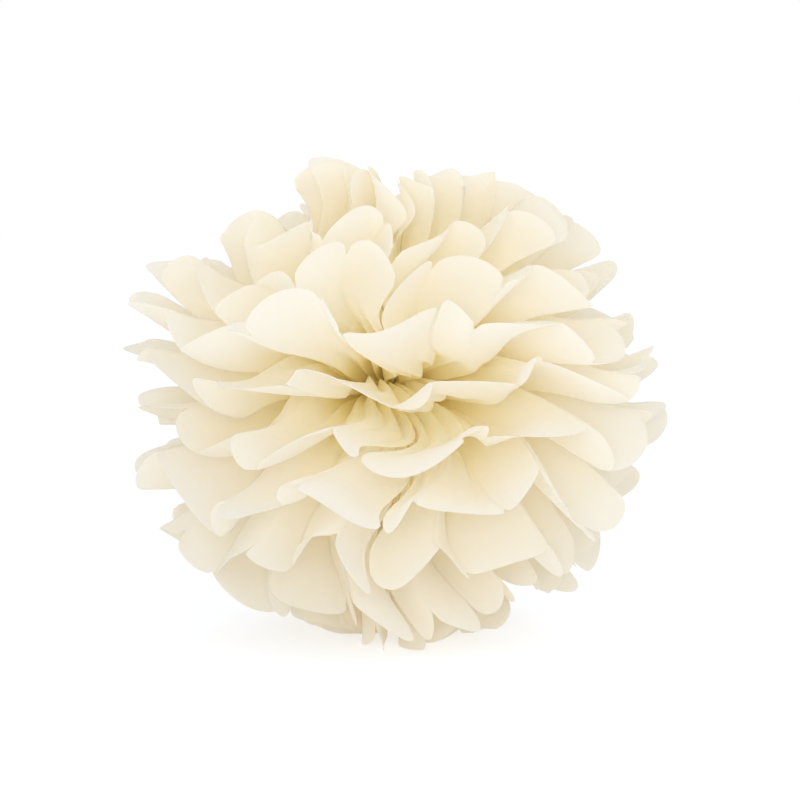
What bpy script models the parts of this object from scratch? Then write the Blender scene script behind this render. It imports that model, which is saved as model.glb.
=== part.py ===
"""Tissue paper pom pom: ten sheets of tissue, folded together like an accordion, trimmed to
rounded ends, pinched at the middle by a wire and fluffed out into a ball of petals.

Metres, +Z up. X runs along the fold lines of the two half fans, and the seams between them face
-Y, the front, and +Y. The ball stands on Z = 0, on petals that are trimmed flat there.
"""

import math

import bmesh
import bpy
import numpy as np

# The cut paper. Each sheet is cut to CUT_ALONG_FOLDS by PLEATS times PLEAT_WIDTH.
SHEETS = 10
PLEATS = 14
PLEAT_WIDTH = 0.03
CUT_ALONG_FOLDS = 0.25
LOBE_DEPTH = 0.0105
PAPER = 0.0004
CLEARANCE = 0.0003

# The pinched middle, where the wire holds all the sheets in one bundle.
BUNDLE_HALF_WIDTH = 0.0052
NECK_HALF_LENGTH = 0.0045
NECK_STEP = 0.0006
WIRE_RADIUS = 0.0005
WIRE_TAIL = 0.012
WIRE_TWIST = 0.008
TWIST_STEPS = 6
LOOP_POINTS = 13
LOOP_OPENS = 1.6

# How the sheets are pulled apart. Elevations are in degrees over the plane of the waist, from
# the lowest sheet to the highest. Each sheet leaves the wire at a share of its elevation and
# turns up or down to the whole of it between the two shares of its length in TURN_OUT.
# FRONT_LIFTS moves its petals by the front seam further.
ELEVATIONS = (-69.0, -52.5, -37.0, -22.0, -7.5, 6.5, 20.0, 34.0, 50.0, 68.0)
START_SHARE = 0.74
TURN_OUT = (0.05, 0.85)
FRONT_LIFTS = (0.0, 0.0, 0.0, -2.0, -5.0, -7.0, 3.0, 6.0, 5.0, 0.0)
FRONT_SPAN = (0.55, 0.95)
FAN_HALF_ANGLE = 90.0

# The pleats: half the angle that they always keep, in radians, how deep they are as the paper
# comes away from the wire, as shares of the pleat width that are reached between two distances,
# and how steep they may be.
LEAST_SWING = 0.09
MORE_SWING_BY_WIRE = 0.5
PLEAT_DEPTHS = ((0.5, 0.006, 0.034), (0.45, 0.02, 0.065))
LEAST_DEPTH = 0.35
SHALLOW_BY_SEAM = (0.45, 0.9)
STEEPEST_PLEAT = 2.2

# How much the folds and petals differ from each other, in degrees, and the cut in its length.
FOLD_SHIFT = 1.8
END_FOLD_SHIFT = 0.2
FOLD_LIFT = 2.4
POLE_LIFT = 6.0
PETAL_CURL = 3.2
CURL_SPAN = (0.45, 1.0)
UNEVEN_CUT = 0.045

# How far the pleats lean over sideways, in degrees, and what keeps the steep sheets together at
# the poles of the ball. Each span gives the shares of the length over which it sets in.
LEAN = 4.0
LEAN_LIMIT = 4.2
LEAN_SPAN = (0.35, 0.95)
SHIFT_SPAN = (0.15, 0.9)
POLE_LEAN = 2.4
POLE_FOLD = 2.0
POLE_FOLD_SPAN = (0.3, 0.8)
POLE_SWAY = 4.0
SWAY_FROM = 75.0
POLE_LIMIT = 87.5
POLE_EASE = 8.0

# The seams, where the two half fans meet: the gap that stays, where each seam starts to close
# and over what length, and how far it then drifts to one side and back, in degrees.
SEAM_GAP = 0.0012
FRONT_CLOSES = 0.002
FRONT_EASE = 0.010
BACK_CLOSES = 0.019
BACK_EASE = 0.016
SEAM_AIM = 2.2
SEAM_DRIFT = 6.0
DRIFT_SPAN = (0.02, 0.125)

# The whole ball: a slow waver of the petals, a flatter crown, and the way it stands.
WAVER = 0.0055
WAVER_LENGTH = 0.085
WAVER_SPAN = (0.02, 0.1)
CROWN_SQUASH = 0.79
SQUASH_BLEND = 0.02
STAND_SHARE = 0.93
FLOOR_SEAT = -0.00005
FLOOR_SPREAD = 0.7
TIE_ASIDE = (-0.0035, -0.0030)
SEED = 11

# Where the mesh has its rows along a fold, as shares of the way from the wire to the cut edge,
# with the number of faces across one pleat up to each row.
ROWS = ((0.0, 0.5), (0.08, 1), (0.25, 1), (0.55, 1), (0.8, 2), (1.0, 4))

CREAM = (0.899, 0.823, 0.665, 1.0)
WIRE_COLOUR = (0.72, 0.69, 0.62, 1.0)

FOLD_REACH = CUT_ALONG_FOLDS / 2
PITCH = PAPER + CLEARANCE
TIE_HEIGHT = FOLD_REACH * STAND_SHARE


def smooth(low, high, value):
    """0 below low, 1 above high and an even S between them."""
    share = np.clip((value - low) / (high - low), 0.0, 1.0)
    return share * share * (3.0 - 2.0 * share)


def bundle_height(level):
    """Height of a sheet's neck over the tie's middle."""
    return (level - (SHEETS - 1) / 2) * PITCH


def bundle_half_height():
    """Half the height of all the necks together."""
    return bundle_height(SHEETS - 1) + PITCH


def neck_reach(level):
    """How far from the wire a sheet starts to bend away. The outermost sheets bend soonest."""
    return NECK_HALF_LENGTH - NECK_STEP * (abs(level - (SHEETS - 1) / 2) - 0.5)


def fan_shape(level, side):
    """The folds and petals of one half of a sheet, each a little different from the next."""
    rng = np.random.default_rng(SEED + 100 * level + (side > 0))
    inner = np.ones(PLEATS + 1)
    inner[0] = inner[-1] = END_FOLD_SHIFT
    azimuth = rng.uniform(-FOLD_SHIFT, FOLD_SHIFT, PLEATS + 1) * inner
    lift = rng.uniform(-FOLD_LIFT, FOLD_LIFT, PLEATS + 1)
    if level in (0, SHEETS - 1):
        lift += math.copysign(1.0, ELEVATIONS[level]) * rng.uniform(0.0, POLE_LIFT, PLEATS + 1)
    curl = rng.uniform(-PETAL_CURL, PETAL_CURL, PLEATS)
    reach = FOLD_REACH * (1.0 - rng.uniform(0.0, UNEVEN_CUT, PLEATS))
    return azimuth, lift, curl, reach


def fold_swing(base, along, turn):
    """Half the angle between mountain and valley folds. The pleats open out towards the cut
    edge. Away from the seam they stay deep near the wire, and at the seam they lie shallow."""
    step = math.radians(2 * FAN_HALF_ANGLE / PLEATS) * np.cos(np.radians(base))
    width = PLEAT_WIDTH / FOLD_REACH
    open_swing = np.degrees(np.sqrt(np.maximum(width**2 - step**2, LEAST_SWING**2))) / 2
    near = 1 - smooth(0.0, 0.9, along / FOLD_REACH)
    open_swing = open_swing * (1 + MORE_SWING_BY_WIRE * near)
    full = PLEAT_WIDTH * sum(deep * smooth(low, high, along) for deep, low, high in PLEAT_DEPTHS)
    least = LEAST_DEPTH * step * along
    depth = np.sqrt(np.maximum(full**2 - (step * along) ** 2, least**2))
    deep_swing = np.degrees(depth / 2 / np.maximum(along, 0.001))
    gathered = 1 - smooth(*SHALLOW_BY_SEAM, np.abs(turn) / FAN_HALF_ANGLE)
    swing = open_swing + gathered * np.maximum(deep_swing - open_swing, 0.0)
    return np.minimum(swing, np.degrees(STEEPEST_PLEAT * step) / 2)


def waver(points):
    """A slow, even drift of the outer petals, the same for all the paper near a point."""
    k = 2 * math.pi / WAVER_LENGTH
    x, y, z = points.T
    drift = np.stack(
        (
            np.sin(k * y + 0.7) + np.sin(0.8 * k * z + 2.1),
            np.sin(k * z + 1.9) + np.sin(0.7 * k * x + 0.4),
            np.sin(k * x + 4.0) + np.sin(0.9 * k * y + 3.3),
        ),
        axis=1,
    )
    away = smooth(*WAVER_SPAN, np.linalg.norm(points, axis=1))
    return points + WAVER * drift * away[:, None]


def pole_limit(elevation):
    """Keeps petals from leaning across the pole into the other half."""
    start = POLE_LIMIT - POLE_EASE
    over = np.maximum(np.abs(elevation) - start, 0.0)
    held = start + POLE_EASE * np.tanh(over / POLE_EASE)
    return np.where(np.abs(elevation) > start, np.sign(elevation) * held, elevation)


def rest_on_floor(points):
    """Paper that would pass through the floor bends there and spreads outward along it."""
    under = np.maximum(FLOOR_SEAT - points[:, 2], 0.0)
    out = points[:, :2] / np.maximum(np.linalg.norm(points[:, :2], axis=1), 1e-6)[:, None]
    points[:, :2] += FLOOR_SPREAD * out * under[:, None]
    points[:, 2] += under
    return points


def squash(points):
    """The crown sits flatter than the lower half."""
    z = points[:, 2]
    bent = np.sqrt(z * z + SQUASH_BLEND**2) - SQUASH_BLEND
    points[:, 2] = z * (1 + CROWN_SQUASH) / 2 - bent * (1 - CROWN_SQUASH) / 2
    return points


def seam_turn(side, neck, turn, along):
    """How far the pleats beside a seam turn past the half circle, so that the two halves meet
    there. The front seam closes beside the wire and the back one behind the wire's tail. Both
    seams then drift to one side and back, so that no straight slot is left between the halves."""
    start = np.where(turn < 0, FRONT_CLOSES, BACK_CLOSES)
    ease = np.where(turn < 0, FRONT_EASE, BACK_EASE)
    aim = np.degrees(np.arcsin((neck - SEAM_GAP / 2) / np.maximum(along, SEAM_AIM * neck)))
    close = aim * smooth(start, start + ease, along)
    drift = SEAM_DRIFT * np.sin(2 * math.pi * smooth(*DRIFT_SPAN, along))
    beside = turn / FAN_HALF_ANGLE
    return close * beside**3 + side * drift * np.abs(beside) ** 3


def paper_points(level, side, u, share):
    """Points of one half sheet: u counts pleats along the strip, share runs from wire to edge."""
    azimuth, lift, curl, reach = fan_shape(level, side)
    pleat = np.minimum(u.astype(int), PLEATS - 1)
    v = u - pleat
    mountain = np.where(pleat % 2 == 0, 1.0, -1.0)
    zigzag = mountain * (2 * v - 1)
    wave = 0.5 * zigzag + 0.5 * mountain * np.sin(math.pi * (v - 0.5))
    across = 1 - (2 * v - 1) ** 2
    edge = reach[pleat] - LOBE_DEPTH * (1 - np.sqrt(np.maximum(across, 0.0)))
    neck = neck_reach(level)
    along = share * (edge - neck)

    far = along / FOLD_REACH
    base = ELEVATIONS[level] * (START_SHARE + (1 - START_SHARE) * smooth(*TURN_OUT, far))
    even = np.linspace(-FAN_HALF_ANGLE, FAN_HALF_ANGLE, PLEATS + 1)
    turn = even[pleat] * (1 - v) + even[pleat + 1] * v
    shift = azimuth[pleat] * (1 - v) + azimuth[pleat + 1] * v
    rise = lift[pleat] * (1 - v) + lift[pleat + 1] * v
    rise = rise + FRONT_LIFTS[level] * smooth(*FRONT_SPAN, -turn / FAN_HALF_ANGLE)
    lean = min(LEAN / math.cos(math.radians(ELEVATIONS[level])), LEAN_LIMIT)
    swing = fold_swing(base, along, turn)
    if level in (0, SHEETS - 1):
        lean = POLE_LEAN
        inward = wave * np.sign(base) > 0
        swing = swing * np.where(inward, 1 + (POLE_FOLD - 1) * smooth(*POLE_FOLD_SPAN, far), 1.0)
    lean *= 1 if (level + (side > 0)) % 2 else -1
    sway = POLE_SWAY * (base / SWAY_FROM) ** 4 * np.sin(np.radians(2 * turn) + level)
    elevation = base + swing * wave + rise * far**2 + sway * far
    elevation = elevation + curl[pleat] * across * smooth(*CURL_SPAN, share)
    elevation = pole_limit(elevation)
    turn = turn + seam_turn(side, neck, turn, along)
    turn = turn + shift * smooth(*SHIFT_SPAN, far) + lean * zigzag * smooth(*LEAN_SPAN, far)

    turn = np.radians(turn)
    elevation = np.radians(elevation)
    z = bundle_height(level)
    narrow = math.sqrt(1 - ((abs(z) + PAPER / 2) / (bundle_half_height() + PAPER / 2)) ** 2)
    half_width = BUNDLE_HALF_WIDTH * narrow
    points = np.stack(
        (
            side * (neck + along * np.cos(turn) * np.cos(elevation)),
            half_width * (2 * u / PLEATS - 1) + along * np.sin(turn) * np.cos(elevation),
            z + along * np.sin(elevation),
        ),
        axis=1,
    )
    points = squash(waver(points))
    points += (*TIE_ASIDE, TIE_HEIGHT)
    return rest_on_floor(points)


def sheet_mesh(level, rows):
    """One sheet as an open surface, from the left edge through the neck to the right edge."""
    verts = []
    faces = []
    before = None
    bands = [(-1, *row) for row in reversed(rows)] + [(1, *row) for row in rows]
    for side, share, across in bands:
        u = np.linspace(0, PLEATS, int(PLEATS * across) + 1)
        row = np.arange(len(u)) + len(verts)
        verts.extend(paper_points(level, side, u, np.full(len(u), share)))
        if before is not None:
            faces += strip(before, row)
        before = row
    mesh = bpy.data.meshes.new("sheet")
    mesh.from_pydata([tuple(v) for v in verts], [], faces)
    return mesh


def strip(low, high):
    """Triangles between two rows of points, of which one may have twice as many as the other.
    Both faces of the paper then fold along the same lines."""
    low = [int(i) for i in low]
    high = [int(i) for i in high]
    if len(low) > len(high):
        return [face[::-1] for face in strip(high, low)]
    times = (len(high) - 1) // (len(low) - 1)
    faces = []
    for i in range(len(low) - 1):
        a, b = low[i], low[i + 1]
        ahead = high[i * times : (i + 1) * times + 1]
        if times == 1:
            faces += [(a, ahead[0], ahead[1]), (a, ahead[1], b)]
        else:
            faces += [(a, ahead[0], ahead[1]), (a, ahead[1], b), (b, ahead[1], ahead[2])]
    return faces


def material(name, colour, roughness, metallic):
    made = bpy.data.materials.new(name)
    made.use_nodes = True
    shader = made.node_tree.nodes["Principled BSDF"]
    shader.inputs["Base Color"].default_value = colour
    shader.inputs["Roughness"].default_value = roughness
    shader.inputs["Metallic"].default_value = metallic
    return made


def add_sheet(level, collection):
    """One sheet of tissue, folded, gathered and fluffed."""
    mesh = sheet_mesh(level, ROWS)
    sheet = bpy.data.objects.new(f"tissue_sheet_{level + 1:02d}", mesh)
    mesh.materials.append(material(f"tissue_{level + 1:02d}", CREAM, 0.85, 0.0))
    shell = sheet.modifiers.new("thickness", "SOLIDIFY")
    shell.thickness = PAPER
    shell.offset = 0.0
    collection.objects.link(sheet)
    return sheet


def tie_route():
    """The wire's middle line: in along one strand of the twist, round the bundle, and out again."""
    strand = WIRE_RADIUS + CLEARANCE
    around = BUNDLE_HALF_WIDTH + CLEARANCE + WIRE_RADIUS
    over = bundle_half_height() + CLEARANCE + WIRE_RADIUS
    turns = WIRE_TAIL / WIRE_TWIST
    steps = max(round(turns * TWIST_STEPS), 4)
    tail_in = []
    for step in range(steps + 1):
        back = step / steps
        angle = math.pi / 2 + 2 * math.pi * turns * back
        y = around + 2 * WIRE_RADIUS + WIRE_TAIL * back
        tail_in.append((strand * math.cos(angle), y, strand * math.sin(angle)))
    start = LOOP_OPENS * math.asin(strand / over)
    loop = []
    for step in range(LOOP_POINTS):
        angle = start + (2 * math.pi - 2 * start) * step / (LOOP_POINTS - 1)
        loop.append((0.0, around * math.cos(angle), over * math.sin(angle)))
    tail_out = [(-x, y, -z) for x, y, z in tail_in]
    return tail_in[::-1] + loop + tail_out


def add_tie(collection):
    """The wire that pinches all the sheets, with its two ends twisted together at the back."""
    curve = bpy.data.curves.new("tie_wire", "CURVE")
    curve.dimensions = "3D"
    curve.bevel_depth = WIRE_RADIUS
    curve.bevel_resolution = 1
    curve.use_fill_caps = True
    route = tie_route()
    spline = curve.splines.new("POLY")
    spline.points.add(len(route) - 1)
    for point, place in zip(spline.points, route):
        point.co = (*place, 1.0)
    curve.materials.append(material("tie_wire", WIRE_COLOUR, 0.4, 1.0))
    tie = bpy.data.objects.new("tie_wire", curve)
    tie.location = (*TIE_ASIDE, TIE_HEIGHT)
    collection.objects.link(tie)


def level_off(sheet):
    """Trims the lowest petals flat where they stand on the floor."""
    graph = bpy.context.evaluated_depsgraph_get()
    mesh = bpy.data.meshes.new_from_object(sheet.evaluated_get(graph))
    shell = bmesh.new()
    shell.from_mesh(mesh)
    everything = shell.verts[:] + shell.edges[:] + shell.faces[:]
    bmesh.ops.bisect_plane(
        shell, geom=everything, dist=1e-6, plane_co=(0, 0, 0), plane_no=(0, 0, 1), clear_inner=True
    )
    bmesh.ops.holes_fill(shell, edges=[edge for edge in shell.edges if edge.is_boundary], sides=0)
    shell.to_mesh(mesh)
    shell.free()
    sheet.modifiers.clear()
    sheet.data = mesh


def main():
    for obj in list(bpy.data.objects):
        bpy.data.objects.remove(obj)
    collection = bpy.data.collections.new("tissue_paper_pom_pom")
    bpy.context.scene.collection.children.link(collection)
    sheets = [add_sheet(level, collection) for level in range(SHEETS)]
    level_off(sheets[0])
    add_tie(collection)


if __name__ == "__main__":
    main()
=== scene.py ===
"""Tissue paper pom pom: ten sheets of cream tissue, pleated together, trimmed to rounded ends,
tied at the middle with wire and fluffed out into a ball that stands on its lowest petals.

The frame gives the tie's place and the sheets' thick stand-ins. This file makes each sheet
again as thin paper, with the gathers and creases that the stand-ins leave out, and lights it.
"""

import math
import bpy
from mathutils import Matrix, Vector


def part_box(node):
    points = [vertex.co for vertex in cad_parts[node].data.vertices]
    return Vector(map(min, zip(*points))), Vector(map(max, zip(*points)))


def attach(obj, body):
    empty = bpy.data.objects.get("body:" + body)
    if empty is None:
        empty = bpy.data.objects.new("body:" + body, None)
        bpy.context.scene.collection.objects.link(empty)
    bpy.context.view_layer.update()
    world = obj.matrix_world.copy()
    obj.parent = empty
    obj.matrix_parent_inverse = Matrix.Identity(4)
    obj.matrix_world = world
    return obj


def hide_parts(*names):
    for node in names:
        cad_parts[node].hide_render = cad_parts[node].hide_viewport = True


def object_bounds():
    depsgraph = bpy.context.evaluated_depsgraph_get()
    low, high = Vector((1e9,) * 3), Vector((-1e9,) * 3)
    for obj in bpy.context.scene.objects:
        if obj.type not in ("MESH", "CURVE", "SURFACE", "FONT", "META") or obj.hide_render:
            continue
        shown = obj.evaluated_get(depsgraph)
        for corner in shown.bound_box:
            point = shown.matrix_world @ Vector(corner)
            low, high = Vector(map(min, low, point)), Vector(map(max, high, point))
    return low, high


bl_info = {
    "name": "Tissue Paper Pom Pom",
    "version": (1, 0, 0),
    "blender": (4, 5, 0),
    "location": "3D View > Sidebar > Pom Pom",
    "description": "Fluffed sheets of pleated tissue paper, tied with wire, on a white studio floor",
    "category": "Add Mesh",
}

import bpy
import numpy as np
from mathutils import Vector

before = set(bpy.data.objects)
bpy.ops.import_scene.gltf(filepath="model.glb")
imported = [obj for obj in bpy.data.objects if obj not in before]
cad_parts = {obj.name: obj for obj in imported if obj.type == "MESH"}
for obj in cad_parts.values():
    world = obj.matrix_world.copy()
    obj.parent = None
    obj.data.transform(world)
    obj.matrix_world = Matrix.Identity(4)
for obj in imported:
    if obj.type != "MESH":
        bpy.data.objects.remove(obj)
CAD_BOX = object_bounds()

# The cut and folded paper, as in the solids.
SHEETS = 10
PLEATS = 14
BUNDLE_HALF_WIDTH = 0.0052
NECK_HALF_LENGTH = 0.0045
NECK_STEP = 0.0006
PITCH = 0.0007
WIRE_DIAMETER = 0.001
WIRE_CLEARANCE = 0.0003

# How the sheets are pulled apart, as in the solids. Elevations are degrees over the waist.
ELEVATIONS = (-69.0, -52.5, -37.0, -22.0, -7.5, 6.5, 20.0, 34.0, 50.0, 68.0)
START_SHARE = 0.74
TURN_OUT = (0.05, 0.85)
FRONT_LIFTS = (0.0, 0.0, 0.0, -2.0, -5.0, -7.0, 3.0, 6.0, 5.0, 0.0)
FRONT_SPAN = (0.55, 0.95)
FAN_HALF_ANGLE = 90.0
LEAST_SWING = 0.09
MORE_SWING_BY_WIRE = 0.5
SWING_FADES_BY = 0.9
PLEAT_DEPTHS = ((0.5, 0.006, 0.034), (0.45, 0.02, 0.065))
LEAST_DEPTH = 0.35
SHALLOW_BY_SEAM = (0.45, 0.9)
STEEPEST_PLEAT = 2.2
FOLD_SHIFT = 1.8
END_FOLD_SHIFT = 0.2
FOLD_LIFT = 2.4
POLE_LIFT = 6.0
PETAL_CURL = 3.2
CURL_SPAN = (0.45, 1.0)
UNEVEN_CUT = 0.045
LEAN = 4.0
LEAN_LIMIT = 4.2
LEAN_SPAN = (0.35, 0.95)
SHIFT_SPAN = (0.15, 0.9)
POLE_LEAN = 2.4
POLE_FOLD = 2.0
POLE_FOLD_SPAN = (0.3, 0.8)
POLE_SWAY = 4.0
SWAY_FROM = 75.0
POLE_LIMIT = 87.5
POLE_EASE = 8.0
SEAM_GAP = 0.0012
FRONT_CLOSES = 0.002
FRONT_EASE = 0.010
BACK_CLOSES = 0.019
BACK_EASE = 0.016
SEAM_AIM = 2.2
SEAM_DRIFT = 6.0
DRIFT_SPAN = (0.02, 0.125)
WAVER = 0.0055
WAVER_LENGTH = 0.085
WAVER_SPAN = (0.02, 0.1)
CROWN_SQUASH = 0.79
SQUASH_BLEND = 0.02
FLOOR_SPREAD = 0.7
SEED = 11

# The thin paper's own detail: rows of faces from the wire to the edge, faces across a pleat, and
# the small gathers by the wire, which are deeper in the sheets that are pushed together most.
ROWS_ALONG = 44
ROWS_CROWD = 0.9
FACES_ACROSS = 18
GATHERS_A_PLEAT = 2
GATHERS_UNEVEN = 0.25
GATHERED_MORE = (1.5, 1.1, 1.1, 1.1, 1.2, 1.3, 1.5, 1.7, 2.0, 2.2)
GATHER_SETS_IN = (0.008, 0.026)
GATHER_FADES = (0.04, 0.1)
FLOOR_CLEARANCE = 0.0001

# The paper's finish: where it turns from the golden heart colour, which is painted shade, to
# the tip colour, by distance from the tie, how far the clouds of its fibres shift that, how deep
# its fine creases are, and the share of the light it scatters that comes out on the other side.
HEART_TO_TIP = (0.02, 0.1)
FIBRE_CLOUD_SIZE = 0.012
FIBRE_CLOUD_SHIFT = 0.12
CREASE_DEPTH = 0.0008
CREASE_STRENGTH = 0.35
LIGHT_THROUGH = 0.45

# The wire's finish: the crystals of its zinc coat and how their gloss differs.
ZINC_GREY = "#C9C5BC"
ZINC_CRYSTAL_SIZE = 0.001
ZINC_ROUGHNESS = (0.35, 0.55)

# The studio floor. White paint lights the ball from below, and the camera sees that paint a
# little darker and cooler under an even white, so the shadow stays pale and neutral.
FLOOR_SIZE = 30.0
PAINT_LIT = "#FAFAFA"
PAINT_SEEN = "#BFC5D2"
FLOOR_WHITE = 0.59

# The lamps are square softboxes, given by size and place. The camera looks a little under the
# tie, as the photograph's frame does. Light passes through and between many layers of paper
# before it comes out of the heart, so it may bounce many times.
KEY_SOFTBOX = (0.9, (0.8, -0.8, 1.1))
FRONT_SOFTBOX = (0.5, (-0.1, -1.2, 0.3))
SENSOR_WIDTH = 36.0
LOOKS_UNDER_TIE = 0.007
LIGHT_BOUNCES = 48

TIE_LOW, TIE_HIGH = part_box("tie_wire")
TIE_PLACE = (
    (TIE_LOW[0] + TIE_HIGH[0]) / 2,
    TIE_LOW[1] + WIRE_DIAMETER + WIRE_CLEARANCE + BUNDLE_HALF_WIDTH,
    (TIE_LOW[2] + TIE_HIGH[2]) / 2,
)


def linear(colour):
    """An sRGB hex colour as linear red, green and blue."""
    parts = [int(colour[i : i + 2], 16) / 255 for i in (1, 3, 5)]
    return tuple(c / 12.92 if c <= 0.04045 else ((c + 0.055) / 1.055) ** 2.4 for c in parts)


class PomPomPaper(bpy.types.PropertyGroup):
    """The tissue paper: how it is cut, gathered and coloured."""

    pleat_width: bpy.props.FloatProperty(
        name="Pleat width", description="Width of one accordion pleat", default=0.03, unit="LENGTH"
    )
    cut_along_folds: bpy.props.FloatProperty(
        name="Cut along folds",
        description="Length of a sheet along its folds, from one cut edge to the other",
        default=0.25,
        unit="LENGTH",
    )
    lobe_depth: bpy.props.FloatProperty(
        name="Lobe depth",
        description="How far each pleat's end is rounded back at its folds",
        default=0.0105,
        unit="LENGTH",
    )
    gather_depth: bpy.props.FloatProperty(
        name="Gather depth",
        description="Half the depth of the small gathers that the tie draws into the paper",
        default=0.003,
        unit="LENGTH",
    )
    crease_size: bpy.props.FloatProperty(
        name="Crease size", description="Width of the paper's fine creases", default=0.006, unit="LENGTH"
    )
    tip_colour: bpy.props.FloatVectorProperty(
        name="Tip colour",
        description="Colour of a single layer of the paper",
        subtype="COLOR",
        default=linear("#FDFAF2"),
    )
    # Painted shade: a more golden colour towards the tie, standing in for the golden shade that light
    # takes through the many layers gathered there.
    heart_painted_shade: bpy.props.FloatVectorProperty(
        name="Heart colour",
        description="Colour of the paper where it is gathered in many layers by the tie",
        subtype="COLOR",
        default=linear("#FEFBE2"),
    )


class PomPomStage(bpy.types.PropertyGroup):
    """The studio: where the camera stands and how bright the light is."""

    camera_distance: bpy.props.FloatProperty(
        name="Camera distance", description="From the camera to the ball", default=1.0, unit="LENGTH"
    )
    camera_elevation: bpy.props.FloatProperty(
        name="Camera elevation",
        description="How far above the level the camera looks from",
        subtype="ANGLE",
        default=math.radians(5),
    )
    view_width: bpy.props.FloatProperty(
        name="View width", description="Width of the picture at the ball", default=0.374, unit="LENGTH"
    )
    key_power: bpy.props.FloatProperty(
        name="Key lamp", description="Power of the large soft lamp", default=1.8, unit="POWER"
    )
    fill_power: bpy.props.FloatProperty(
        name="Front lamp", description="Power of the soft lamp by the camera", default=2.6, unit="POWER"
    )
    room_light: bpy.props.FloatProperty(
        name="Room light", description="Brightness of the white studio all round", default=0.79
    )


def smooth(low, high, value):
    """0 below low, 1 above high and an even S between them."""
    share = np.clip((value - low) / (high - low), 0.0, 1.0)
    return share * share * (3.0 - 2.0 * share)


def bundle_height(level):
    """Height of a sheet's neck over the tie's middle."""
    return (level - (SHEETS - 1) / 2) * PITCH


def neck_reach(level):
    """How far from the wire a sheet starts to bend away."""
    return NECK_HALF_LENGTH - NECK_STEP * (abs(level - (SHEETS - 1) / 2) - 0.5)


def fan_shape(level, side, fold_reach):
    """The folds and petals of one half of a sheet, each a little different from the next."""
    rng = np.random.default_rng(SEED + 100 * level + (side > 0))
    inner = np.ones(PLEATS + 1)
    inner[0] = inner[-1] = END_FOLD_SHIFT
    azimuth = rng.uniform(-FOLD_SHIFT, FOLD_SHIFT, PLEATS + 1) * inner
    lift = rng.uniform(-FOLD_LIFT, FOLD_LIFT, PLEATS + 1)
    if level in (0, SHEETS - 1):
        lift += math.copysign(1.0, ELEVATIONS[level]) * rng.uniform(0.0, POLE_LIFT, PLEATS + 1)
    curl = rng.uniform(-PETAL_CURL, PETAL_CURL, PLEATS)
    reach = fold_reach * (1.0 - rng.uniform(0.0, UNEVEN_CUT, PLEATS))
    return azimuth, lift, curl, reach


def fold_swing(paper, base, along, turn):
    """Half the angle between mountain and valley folds, which open out towards the cut edge."""
    reach = paper.cut_along_folds / 2
    step = math.radians(2 * FAN_HALF_ANGLE / PLEATS) * np.cos(np.radians(base))
    width = paper.pleat_width / reach
    open_swing = np.degrees(np.sqrt(np.maximum(width**2 - step**2, LEAST_SWING**2))) / 2
    near = 1 - smooth(0.0, SWING_FADES_BY, along / reach)
    open_swing = open_swing * (1 + MORE_SWING_BY_WIRE * near)
    full = sum(deep * smooth(low, high, along) for deep, low, high in PLEAT_DEPTHS)
    full = full * paper.pleat_width
    least = LEAST_DEPTH * step * along
    depth = np.sqrt(np.maximum(full**2 - (step * along) ** 2, least**2))
    deep_swing = np.degrees(depth / 2 / np.maximum(along, 0.001))
    gathered = 1 - smooth(*SHALLOW_BY_SEAM, np.abs(turn) / FAN_HALF_ANGLE)
    swing = open_swing + gathered * np.maximum(deep_swing - open_swing, 0.0)
    return np.minimum(swing, np.degrees(STEEPEST_PLEAT * step) / 2)


def gathers(paper, level, u, along):
    """The small gathers between the folds, in degrees. They are deepest by the tie, where the
    whole width of the paper is drawn into the bundle, and they fade out into the petals. All
    the sheets are gathered together, so the gathers nest."""
    uneven = 1 - GATHERS_UNEVEN + GATHERS_UNEVEN * np.sin(2.3 * u + 1.1)
    depth = paper.gather_depth * GATHERED_MORE[level] * smooth(*GATHER_SETS_IN, along)
    depth = depth * (1 - smooth(*GATHER_FADES, along))
    wave = np.sin(2 * math.pi * GATHERS_A_PLEAT * u + 0.5 * np.sin(1.7 * u))
    return np.degrees(depth * uneven * wave / np.maximum(along, 0.004))


def waver(points):
    """A slow, even drift of the outer petals, the same for all the paper near a point."""
    k = 2 * math.pi / WAVER_LENGTH
    x, y, z = points.T
    drift = np.stack(
        (
            np.sin(k * y + 0.7) + np.sin(0.8 * k * z + 2.1),
            np.sin(k * z + 1.9) + np.sin(0.7 * k * x + 0.4),
            np.sin(k * x + 4.0) + np.sin(0.9 * k * y + 3.3),
        ),
        axis=1,
    )
    away = smooth(*WAVER_SPAN, np.linalg.norm(points, axis=1))
    return points + WAVER * drift * away[:, None]


def pole_limit(elevation):
    """Keeps petals from leaning across the pole into the other half."""
    start = POLE_LIMIT - POLE_EASE
    over = np.maximum(np.abs(elevation) - start, 0.0)
    held = start + POLE_EASE * np.tanh(over / POLE_EASE)
    return np.where(np.abs(elevation) > start, np.sign(elevation) * held, elevation)


def squash(points):
    """The crown sits flatter than the lower half."""
    z = points[:, 2]
    bent = np.sqrt(z * z + SQUASH_BLEND**2) - SQUASH_BLEND
    points[:, 2] = z * (1 + CROWN_SQUASH) / 2 - bent * (1 - CROWN_SQUASH) / 2
    return points


def rest_on_floor(points):
    """Paper that would pass through the floor bends there and spreads outward along it."""
    under = np.maximum(FLOOR_CLEARANCE - points[:, 2], 0.0)
    out = points[:, :2] / np.maximum(np.linalg.norm(points[:, :2], axis=1), 1e-6)[:, None]
    points[:, :2] += FLOOR_SPREAD * out * under[:, None]
    points[:, 2] += under
    return points


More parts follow.
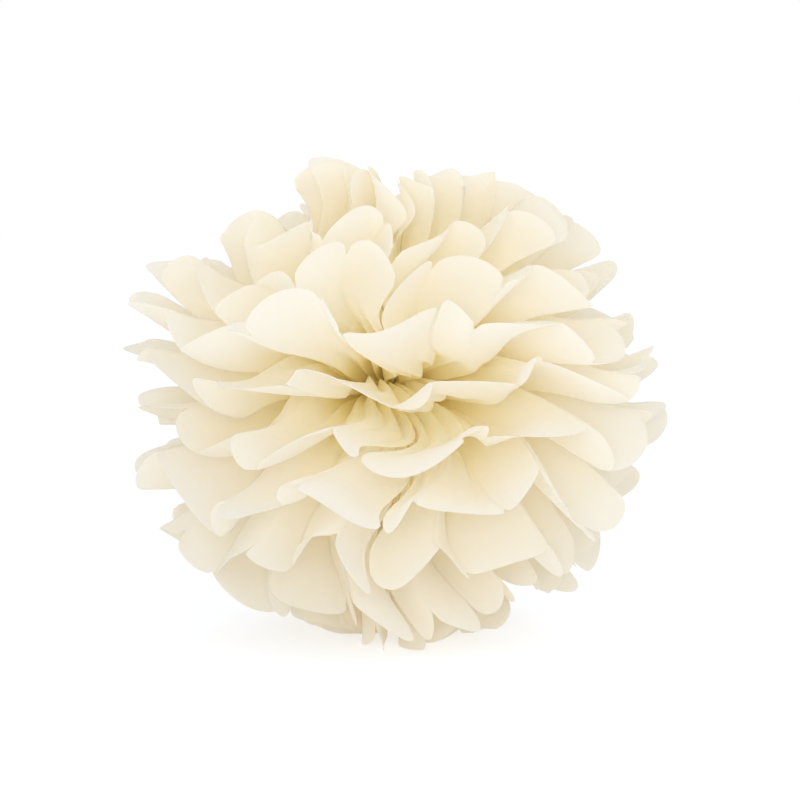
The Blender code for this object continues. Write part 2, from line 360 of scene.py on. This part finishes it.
def seam_turn(side, neck, turn, along):
    """How far the pleats beside a seam turn past the half circle, so that the halves meet."""
    start = np.where(turn < 0, FRONT_CLOSES, BACK_CLOSES)
    ease = np.where(turn < 0, FRONT_EASE, BACK_EASE)
    aim = np.degrees(np.arcsin((neck - SEAM_GAP / 2) / np.maximum(along, SEAM_AIM * neck)))
    close = aim * smooth(start, start + ease, along)
    drift = SEAM_DRIFT * np.sin(2 * math.pi * smooth(*DRIFT_SPAN, along))
    beside = turn / FAN_HALF_ANGLE
    return close * beside**3 + side * drift * np.abs(beside) ** 3


def paper_points(paper, level, side, u, share):
    """Points of one half sheet: u counts pleats along the strip, share runs from wire to edge."""
    fold_reach = paper.cut_along_folds / 2
    azimuth, lift, curl, reach = fan_shape(level, side, fold_reach)
    pleat = np.minimum(u.astype(int), PLEATS - 1)
    v = u - pleat
    mountain = np.where(pleat % 2 == 0, 1.0, -1.0)
    zigzag = mountain * (2 * v - 1)
    wave = 0.5 * zigzag + 0.5 * mountain * np.sin(math.pi * (v - 0.5))
    across = 1 - (2 * v - 1) ** 2
    edge = reach[pleat] - paper.lobe_depth * (1 - np.sqrt(np.maximum(across, 0.0)))
    neck = neck_reach(level)
    along = share * (edge - neck)

    far = along / fold_reach
    base = ELEVATIONS[level] * (START_SHARE + (1 - START_SHARE) * smooth(*TURN_OUT, far))
    even = np.linspace(-FAN_HALF_ANGLE, FAN_HALF_ANGLE, PLEATS + 1)
    turn = even[pleat] * (1 - v) + even[pleat + 1] * v
    shift = azimuth[pleat] * (1 - v) + azimuth[pleat + 1] * v
    rise = lift[pleat] * (1 - v) + lift[pleat + 1] * v
    rise = rise + FRONT_LIFTS[level] * smooth(*FRONT_SPAN, -turn / FAN_HALF_ANGLE)
    lean = min(LEAN / math.cos(math.radians(ELEVATIONS[level])), LEAN_LIMIT)
    swing = fold_swing(paper, base, along, turn)
    if level in (0, SHEETS - 1):
        lean = POLE_LEAN
        inward = wave * np.sign(base) > 0
        swing = swing * np.where(inward, 1 + (POLE_FOLD - 1) * smooth(*POLE_FOLD_SPAN, far), 1.0)
    lean *= 1 if (level + (side > 0)) % 2 else -1
    sway = POLE_SWAY * (base / SWAY_FROM) ** 4 * np.sin(np.radians(2 * turn) + level)
    elevation = base + swing * wave + rise * far**2 + sway * far
    elevation = elevation + curl[pleat] * across * smooth(*CURL_SPAN, share)
    elevation = pole_limit(elevation + gathers(paper, level, u, along))
    turn = turn + seam_turn(side, neck, turn, along)
    turn = turn + shift * smooth(*SHIFT_SPAN, far) + lean * zigzag * smooth(*LEAN_SPAN, far)

    turn = np.radians(turn)
    elevation = np.radians(elevation)
    z = bundle_height(level)
    half_height = PITCH * (SHEETS + 1) / 2
    half_width = BUNDLE_HALF_WIDTH * math.sqrt(1 - (abs(z) / half_height) ** 2)
    points = np.stack(
        (
            side * (neck + along * np.cos(turn) * np.cos(elevation)),
            half_width * (2 * u / PLEATS - 1) + along * np.sin(turn) * np.cos(elevation),
            z + along * np.sin(elevation),
        ),
        axis=1,
    )
    return rest_on_floor(squash(waver(points)) + TIE_PLACE)


def sheet_mesh(paper, level):
    """One sheet as thin paper, from the left cut edge through the neck to the right one."""
    shares = np.linspace(0, 1, ROWS_ALONG) ** ROWS_CROWD
    columns = PLEATS * FACES_ACROSS + 1
    u = np.linspace(0, PLEATS, columns)
    rows = [(-1, share) for share in shares[::-1]] + [(1, share) for share in shares]
    points = [paper_points(paper, level, side, u, np.full(columns, share)) for side, share in rows]
    index = np.arange(len(rows) * columns).reshape(len(rows), columns)
    corners = (index[:-1, :-1], index[:-1, 1:], index[1:, 1:], index[1:, :-1])
    faces = np.stack([corner.ravel() for corner in corners], axis=1)
    mesh = bpy.data.meshes.new(f"thin_tissue_{level + 1:02d}")
    mesh.from_pydata(np.concatenate(points).tolist(), [], faces.tolist())
    mesh.shade_smooth()
    return mesh


def add_node(tree, kind, inputs=None, **settings):
    """A shader node with its settings, and with values or links on its named inputs."""
    node = tree.nodes.new(kind)
    for name, value in settings.items():
        setattr(node, name, value)
    for name, value in (inputs or {}).items():
        if isinstance(value, bpy.types.NodeSocket):
            tree.links.new(value, node.inputs[name])
        else:
            node.inputs[name].default_value = value
    return node


def new_material(name):
    """An empty material and its node tree."""
    made = bpy.data.materials.new(name)
    made.use_nodes = True
    made.node_tree.nodes.clear()
    return made, made.node_tree


def cream_tissue_paper(paper):
    """Uncoated tissue of about 17 g a square metre, dyed cream and folded by hand. Nearly half
    of the light comes out on its other side, so petals glow. The golden shade in the heart comes
    partly from that light and is partly painted into the colour."""
    made, tree = new_material("cream_tissue_paper")
    place = add_node(tree, "ShaderNodeTexCoord").outputs["Object"]
    # Painted shade: towards the tie the colour turns from the tip colour to the golden heart colour,
    # standing in for the shade deep among the layers.
    from_tie = add_node(tree, "ShaderNodeVectorMath", {0: place, 1: TIE_PLACE}, operation="DISTANCE")
    out_of_heart_shade = add_node(
        tree,
        "ShaderNodeMapRange",
        {
            "Value": from_tie.outputs["Value"],
            "From Min": HEART_TO_TIP[0],
            "From Max": HEART_TO_TIP[1],
        },
        interpolation_type="SMOOTHSTEP",
    )
    # Fibres lie unevenly in tissue, which shows as faint clouds a few millimetres wide.
    clouds = add_node(
        tree, "ShaderNodeTexNoise", {"Vector": place, "Scale": 1 / FIBRE_CLOUD_SIZE, "Detail": 3.0}
    )
    cloudy = add_node(
        tree,
        "ShaderNodeMapRange",
        {
            "Value": clouds.outputs["Fac"],
            "From Min": 0.35,
            "From Max": 0.65,
            "To Max": FIBRE_CLOUD_SHIFT,
        },
    )
    # The mix factor runs from the painted heart shade at 0 to the paper's tip colour at 1; the fibre
    # clouds are the paper's own uneven tone.
    thin = add_node(
        tree,
        "ShaderNodeMath",
        {0: out_of_heart_shade.outputs["Result"], 1: cloudy.outputs["Result"]},
        operation="SUBTRACT",
        use_clamp=True,
    )
    colour = add_node(
        tree,
        "ShaderNodeMix",
        {
            "Factor": thin.outputs["Value"],
            "A": (*paper.heart_painted_shade, 1.0),
            "B": (*paper.tip_colour, 1.0),
        },
        data_type="RGBA",
    )
    # Soft creases from folding and fluffing, which catch the light as faint facets.
    creases = add_node(
        tree,
        "ShaderNodeTexNoise",
        {"Vector": place, "Scale": 1 / paper.crease_size, "Detail": 4.0, "Roughness": 0.55},
    )
    relief = add_node(
        tree,
        "ShaderNodeBump",
        {
            "Height": creases.outputs["Fac"],
            "Strength": CREASE_STRENGTH,
            "Distance": CREASE_DEPTH,
        },
    )
    front = add_node(
        tree,
        "ShaderNodeBsdfDiffuse",
        {"Color": colour.outputs["Result"], "Roughness": 0.6, "Normal": relief.outputs["Normal"]},
    )
    through = add_node(
        tree,
        "ShaderNodeBsdfTranslucent",
        {"Color": colour.outputs["Result"], "Normal": relief.outputs["Normal"]},
    )
    mixed = add_node(
        tree,
        "ShaderNodeMixShader",
        {0: LIGHT_THROUGH, 1: front.outputs["BSDF"], 2: through.outputs["BSDF"]},
    )
    add_node(tree, "ShaderNodeOutputMaterial", {"Surface": mixed.outputs["Shader"]})
    return made


def galvanised_wire():
    """Drawn soft steel wire with a dull zinc coat, which gives it a pale, slightly mottled grey."""
    made, tree = new_material("galvanised_wire")
    place = add_node(tree, "ShaderNodeTexCoord").outputs["Object"]
    spangle = add_node(
        tree, "ShaderNodeTexNoise", {"Vector": place, "Scale": 1 / ZINC_CRYSTAL_SIZE}
    )
    dulled = add_node(
        tree,
        "ShaderNodeMapRange",
        {
            "Value": spangle.outputs["Fac"],
            "To Min": ZINC_ROUGHNESS[0],
            "To Max": ZINC_ROUGHNESS[1],
        },
    )
    steel = add_node(
        tree,
        "ShaderNodeBsdfPrincipled",
        {
            "Base Color": (*linear(ZINC_GREY), 1.0),
            "Metallic": 1.0,
            "Roughness": dulled.outputs["Result"],
        },
    )
    add_node(tree, "ShaderNodeOutputMaterial", {"Surface": steel.outputs["BSDF"]})
    return made


def seen_white(tree):
    """1 for rays that should see plain white: from the camera, in gloss and through glass."""
    path = add_node(tree, "ShaderNodeLightPath")
    seen = path.outputs["Is Camera Ray"]
    for name in ("Is Glossy Ray", "Is Transmission Ray"):
        seen = add_node(
            tree, "ShaderNodeMath", {0: seen, 1: path.outputs[name]}, operation="MAXIMUM"
        ).outputs["Value"]
    return seen


def white_studio_floor():
    """Matt white painted floor. It keeps the ball's shadow and is otherwise seen as white."""
    made, tree = new_material("white_studio_floor")
    seen = seen_white(tree)
    colour = add_node(
        tree,
        "ShaderNodeMix",
        {
            "Factor": seen,
            "A": (*linear(PAINT_LIT), 1.0),
            "B": (*linear(PAINT_SEEN), 1.0),
        },
        data_type="RGBA",
    )
    paint = add_node(tree, "ShaderNodeBsdfDiffuse", {"Color": colour.outputs["Result"]})
    lift = add_node(tree, "ShaderNodeMath", {0: seen, 1: FLOOR_WHITE}, operation="MULTIPLY")
    glow = add_node(
        tree, "ShaderNodeEmission", {"Color": (1.0, 1.0, 1.0, 1.0), "Strength": lift.outputs["Value"]}
    )
    both = add_node(
        tree, "ShaderNodeAddShader", {0: paint.outputs["BSDF"], 1: glow.outputs["Emission"]}
    )
    add_node(tree, "ShaderNodeOutputMaterial", {"Surface": both.outputs["Shader"]})
    return made


def aim(thing, target):
    """Turns a lamp or the camera to look at a point."""
    away = Vector(target) - thing.location
    thing.rotation_euler = away.to_track_quat("-Z", "Y").to_euler()


class POMPOM_OT_sheets(bpy.types.Operator):
    """Make the ten fluffed sheets of tissue"""

    bl_idname = "pompom.sheets"
    bl_label = "Tissue Sheets"

    def execute(self, context):
        paper = context.scene.pom_pom_paper
        tissue = cream_tissue_paper(paper)
        for level in range(SHEETS):
            mesh = sheet_mesh(paper, level)
            mesh.materials.append(tissue)
            sheet = bpy.data.objects.new(f"petal_sheet_{level + 1:02d}", mesh)
            context.scene.collection.objects.link(sheet)
            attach(sheet, "root")
            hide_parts(f"tissue_sheet_{level + 1:02d}")
        return {"FINISHED"}


class POMPOM_OT_tie(bpy.types.Operator):
    """Finish the wire that ties the sheets at their middle"""

    bl_idname = "pompom.tie"
    bl_label = "Tie Wire"

    def execute(self, context):
        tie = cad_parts["tie_wire"]
        wire = galvanised_wire()
        for slot in tie.material_slots:
            slot.material = wire
        return {"FINISHED"}


class POMPOM_OT_stage(bpy.types.Operator):
    """Make the white studio: floor, soft light and camera"""

    bl_idname = "pompom.stage"
    bl_label = "Studio"

    def execute(self, context):
        stage = context.scene.pom_pom_stage
        self.add_floor(context)
        self.add_light(context, stage)
        self.add_camera(context, stage)
        context.scene.view_settings.view_transform = "Standard"
        context.scene.cycles.diffuse_bounces = LIGHT_BOUNCES
        context.scene.cycles.transmission_bounces = LIGHT_BOUNCES
        context.scene.cycles.max_bounces = LIGHT_BOUNCES
        return {"FINISHED"}

    def add_floor(self, context):
        bpy.ops.mesh.primitive_plane_add(size=FLOOR_SIZE, location=(0, 0, 0))
        floor = context.object
        floor.name = "studio_floor"
        floor.data.materials.append(white_studio_floor())

    def add_light(self, context, stage):
        world = bpy.data.worlds.new("white_studio")
        context.scene.world = world
        world.use_nodes = True
        tree = world.node_tree
        tree.nodes.clear()
        strength = add_node(
            tree,
            "ShaderNodeMix",
            {"Factor": seen_white(tree), "A": stage.room_light, "B": 1.0},
            data_type="FLOAT",
        )
        sky = add_node(
            tree,
            "ShaderNodeBackground",
            {"Color": (1.0, 1.0, 1.0, 1.0), "Strength": strength.outputs["Result"]},
        )
        add_node(tree, "ShaderNodeOutputWorld", {"Surface": sky.outputs["Background"]})
        for name, power, (size, place) in (
            ("key_softbox", stage.key_power, KEY_SOFTBOX),
            ("front_softbox", stage.fill_power, FRONT_SOFTBOX),
        ):
            lamp = bpy.data.lights.new(name, "AREA")
            lamp.shape = "SQUARE"
            lamp.size = size
            lamp.energy = power
            softbox = bpy.data.objects.new(name, lamp)
            softbox.location = place
            context.scene.collection.objects.link(softbox)
            aim(softbox, TIE_PLACE)

    def add_camera(self, context, stage):
        lens = bpy.data.cameras.new("camera")
        lens.sensor_width = SENSOR_WIDTH
        lens.lens = lens.sensor_width * stage.camera_distance / stage.view_width
        camera = bpy.data.objects.new("camera", lens)
        middle = Vector((CAD_BOX[0] + CAD_BOX[1]) / 2)
        target = Vector((middle.x, middle.y, TIE_PLACE[2] - LOOKS_UNDER_TIE))
        level = stage.camera_distance * math.cos(stage.camera_elevation)
        height = stage.camera_distance * math.sin(stage.camera_elevation)
        camera.location = target + Vector((0, -level, height))
        context.scene.collection.objects.link(camera)
        aim(camera, target)
        context.scene.camera = camera


class POMPOM_PT_sidebar(bpy.types.Panel):
    """Sizes, colours and steps of the pom pom"""

    bl_label = "Tissue Pom Pom"
    bl_idname = "POMPOM_PT_sidebar"
    bl_space_type = "VIEW_3D"
    bl_region_type = "UI"
    bl_category = "Pom Pom"

    def draw(self, context):
        for group in (context.scene.pom_pom_paper, context.scene.pom_pom_stage):
            box = self.layout.box()
            for name in group.bl_rna.properties.keys():
                if name not in ("rna_type", "name"):
                    box.prop(group, name)
        for operator in STEPS:
            self.layout.operator(operator.bl_idname)


STEPS = (POMPOM_OT_sheets, POMPOM_OT_tie, POMPOM_OT_stage)
CLASSES = (PomPomPaper, PomPomStage, *STEPS, POMPOM_PT_sidebar)


def register():
    """Registers the classes and gives the scene its settings."""
    for cls in CLASSES:
        bpy.utils.register_class(cls)
    bpy.types.Scene.pom_pom_paper = bpy.props.PointerProperty(type=PomPomPaper)
    bpy.types.Scene.pom_pom_stage = bpy.props.PointerProperty(type=PomPomStage)


def unregister():
    """Takes the settings and the classes away again."""
    del bpy.types.Scene.pom_pom_stage
    del bpy.types.Scene.pom_pom_paper
    for cls in reversed(CLASSES):
        bpy.utils.unregister_class(cls)


def main():
    """Makes the part and its studio."""
    register()
    bpy.ops.pompom.sheets()
    bpy.ops.pompom.tie()
    bpy.ops.pompom.stage()


if __name__ == "__main__":
    main()
